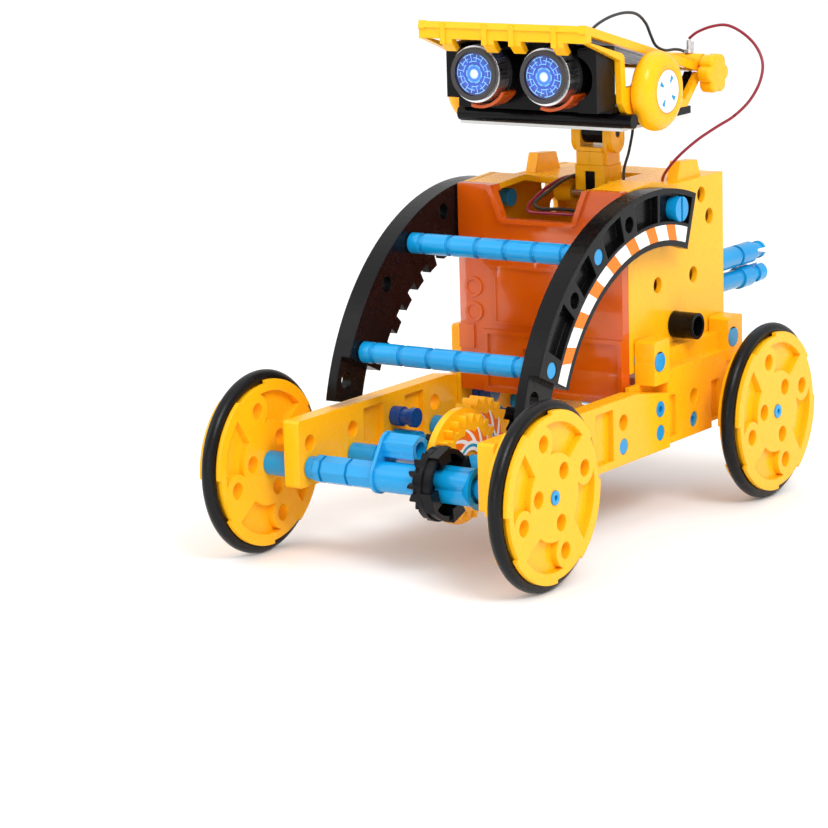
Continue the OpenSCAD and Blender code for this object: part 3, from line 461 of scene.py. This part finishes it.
def catmull(pts, m):
    """A smooth path through the points, with m steps between two of them."""
    out = []
    n = len(pts)
    for i in range(n - 1):
        a, b, c, d = pts[max(i - 1, 0)], pts[i], pts[i + 1], pts[min(i + 2, n - 1)]
        for k in range(m):
            t = k / m
            square, cube = 2 * a - 5 * b + 4 * c - d, 3 * b - a - 3 * c + d
            out.append(0.5 * (2 * b + (c - a) * t + square * t * t + cube * t * t * t))
    out.append(pts[-1])
    return out


def mesh_object(name, bm, mat, sharp=None):
    """An object from bm. With a sharp angle all of it is smooth up to that angle, else only its quads are."""
    me = bpy.data.meshes.new(name)
    bm.to_mesh(me)
    bm.free()
    for f in me.polygons:
        f.use_smooth = sharp is not None or len(f.vertices) == 4
    me.materials.append(mat)
    if sharp is not None:
        me.set_sharp_from_angle(angle=math.radians(sharp))
    o = bpy.data.objects.new(name, me)
    bpy.context.scene.collection.objects.link(o)
    return o


def tube(name, path, radius, mat, sides=16):
    """A round lead along a path, closed at both ends."""
    bm = bmesh.new()
    rings = []
    ref = Vector((1, 0.2, 0.1))
    for i, p in enumerate(path):
        t = (path[min(i + 1, len(path) - 1)] - path[max(i - 1, 0)]).normalized()
        u = (ref - t * ref.dot(t)).normalized()
        ref = u
        v = t.cross(u)
        turns = [2 * math.pi * j / sides for j in range(sides)]
        rings.append([bm.verts.new(p + radius * (math.cos(q) * u + math.sin(q) * v)) for q in turns])
    for a, b in zip(rings, rings[1:]):
        for j in range(sides):
            bm.faces.new((a[j], a[(j + 1) % sides], b[(j + 1) % sides], b[j]))
    bm.faces.new(rings[0][::-1])
    bm.faces.new(rings[-1])
    return mesh_object(name, bm, mat)


# routes of the leads in mm, the same as in the CAD source
black_route = [[25, 8, 163.5], [25, 10, 165], [25.1, 15, 166.6], [25.2, 22, 167.8], [25.4, 30, 168.1],
    [25.5, 37, 166.9], [25.5, 42.5, 163.5], [25.4, 46, 159], [25.2, 49.5, 155.4], [24.9, 56, 153.2],
    [24.7, 64, 152.7], [24.7, 70, 151], [24.7, 73, 146.4], [24.3, 73, 141.4], [22, 72, 137.2],
    [16.5, 69.4, 133.8], [11.8, 65.6, 130.8], [9.2, 62.2, 127.4], [9.6, 59.4, 123], [10.6, 55.4, 118],
    [11.7, 51, 114.4], [12.3, 49.1, 112], [12.4, 48.8, 109.75]]
red_route = [[27.8, 67.4, 156.15], [31, 67.4, 158.4], [36.4, 67.6, 160.4], [42.4, 67.4, 161],
    [48.4, 67.2, 158.6], [53.4, 67, 154.4], [56.4, 66, 149], [56.6, 63.6, 143], [54.4, 60.4, 137],
    [50, 57.6, 132], [44.6, 55.6, 128.4], [39, 53.4, 124.4], [34, 51.6, 120], [30, 51, 116], [26.4, 52, 112],
    [25, 53, 109.72]]
mred_route = [[9.8, 37, 94], [8.9, 37, 94.05], [7.6, 35.4, 96.6], [5, 31.5, 99.4], [0, 27.5, 100.4],
    [-5, 23.5, 101], [-8, 21, 101.6], [-9, 22.5, 103.4], [-9.2, 27, 105.4], [-9, 33, 107.6], [-8.6, 39, 109.2],
    [-8.3, 45, 110], [-8.2, 50, 109.6], [-8.2, 54.5, 107.6], [-8.2, 58, 104.8], [-8.4, 61, 102]]
mblack_route = [[9.8, 44, 94], [8.9, 44, 94.05], [7.4, 42.2, 97], [4, 37, 99.6], [0, 31, 101.4], [-3, 26, 102],
    [-5, 22.6, 102.6], [-6.4, 22, 104.4], [-6.8, 26, 105.6], [-6.8, 32, 107.2], [-6.7, 38, 108.9],
    [-6.6, 44, 110], [-6.6, 48.6, 110.4], [-6.6, 54, 109.2], [-6.7, 59, 106], [-7.4, 63, 102]]


LONG_D, MOTOR_D = 0.001, 0.0012  # thickness of the leads, in m
BODY_TOP, PANEL_Z = 0.1094, 0.157  # heights of the body top and the panel, in m


def long_lead(name, route, split, mat):
    """A lead from the head to the body in two pieces, upper and lower, that meet at the split point of the route."""
    steps = 6
    path = catmull([P(*p) for p in route], steps)
    k = split * steps
    meet = path[k].z
    for part, q, a, b, z0, z1 in (("upper", path[:k + 1], "neck", "head", meet, PANEL_Z),
                                  ("lower", path[k:], "base", "neck", BODY_TOP, meet)):
        o = tube(f"{name}_{part}", q, LONG_D / 2, mat)
        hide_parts(name)
        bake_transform(o)


long_lead("red_lead", red_route, 9, LRED)
long_lead("black_lead", black_route, 15, LBLACK)
for name, route, mat, slot in (("motor_lead_red", mred_route, LRED, "lead_red"),
                               ("motor_lead_black", mblack_route, LBLACK, "lead_black")):
    q = catmull([P(*p) for p in route], 5)
    o = tube(name, q, MOTOR_D / 2, mat)
    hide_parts("motor_leads")
    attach(o, "base")


def lathe(name, profile, cy, cz, side, mat, n=96):
    """Surface of revolution about X through (cy, cz): profile holds (radius, x) in mm."""
    bm = bmesh.new()
    rings = []
    for r, x in profile:
        turns = [2 * math.pi * k / n for k in range(n)] if r else [0]
        rings.append([bm.verts.new(P(side * x, cy + r * math.cos(q), cz + r * math.sin(q))) for q in turns])
    for a, b in zip(rings, rings[1:]):
        for k in range(n):
            k2 = (k + 1) % n
            if len(a) == 1:
                bm.faces.new((a[0], b[k], b[k2]))
            elif len(b) == 1:
                bm.faces.new((a[k], b[0], a[k2]))
            else:
                bm.faces.new((a[k], b[k], b[k2], a[k2]))
    bmesh.ops.recalc_face_normals(bm, faces=bm.faces)
    return mesh_object(name, bm, mat, 35)


ear_profile = [(0, 39.95), (7.35, 39.95), (7.55, 39.7), (8.2, 39.7), (8.5, 39.95), (9.6, 39.9), (10.7, 39.55),
    (11.7, 38.9), (12.5, 38), (13.0, 36.9), (13.2, 35.7), (13.1, 34.6), (12.7, 33.6), (12, 32.9), (11, 32.5),
    (8, 32.42), (0, 32.42)]
for side, label in ((1, "left"), (-1, "right")):
    o = lathe(f"ear_disc_{label}", ear_profile, EAR_Y, EAR_Z, side, EAR)
    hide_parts("ear_discs")
    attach(o, "head")


def knob(name, side, n=120):
    """Six-lobed knob with rounded rims, turned about X through its own middle."""
    cy, cz, lobes, valley_r, lobe_h, fullness = 68.9, 144.6, 6, 5.35, 1.55, 0.75
    profile = ((33.2, 1.1), (33.35, 0.5), (33.75, 0.12), (34.3, 0), (37.3, 0), (37.85, 0.14), (38.22, 0.5),
               (38.38, 1.1), (38.4, 2.2))  # x and how far the outline is drawn in, in mm
    bm = bmesh.new()
    rings = []
    for x, inset in profile:
        ring = []
        for k in range(n):
            a = 2 * math.pi * k / n
            r = valley_r + lobe_h * abs(math.cos(lobes / 2 * a)) ** fullness - inset
            ring.append(bm.verts.new(P(side * x, cy + r * math.cos(a), cz + r * math.sin(a))))
        rings.append(ring)
    for a, b in zip(rings, rings[1:]):
        for k in range(n):
            bm.faces.new((a[k], b[k], b[(k + 1) % n], a[(k + 1) % n]))
    for ring, (x, _) in ((rings[0], profile[0]), (rings[-1], profile[-1])):
        c = bm.verts.new(P(side * x, cy, cz))
        for k in range(n):
            bm.faces.new((ring[k], ring[(k + 1) % n], c))
    bmesh.ops.recalc_face_normals(bm, faces=bm.faces)
    o = mesh_object(name, bm, YELLOW, 50)
    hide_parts("rear_knobs")
    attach(o, "head")


knob("rear_knob_left", 1)
knob("rear_knob_right", -1)
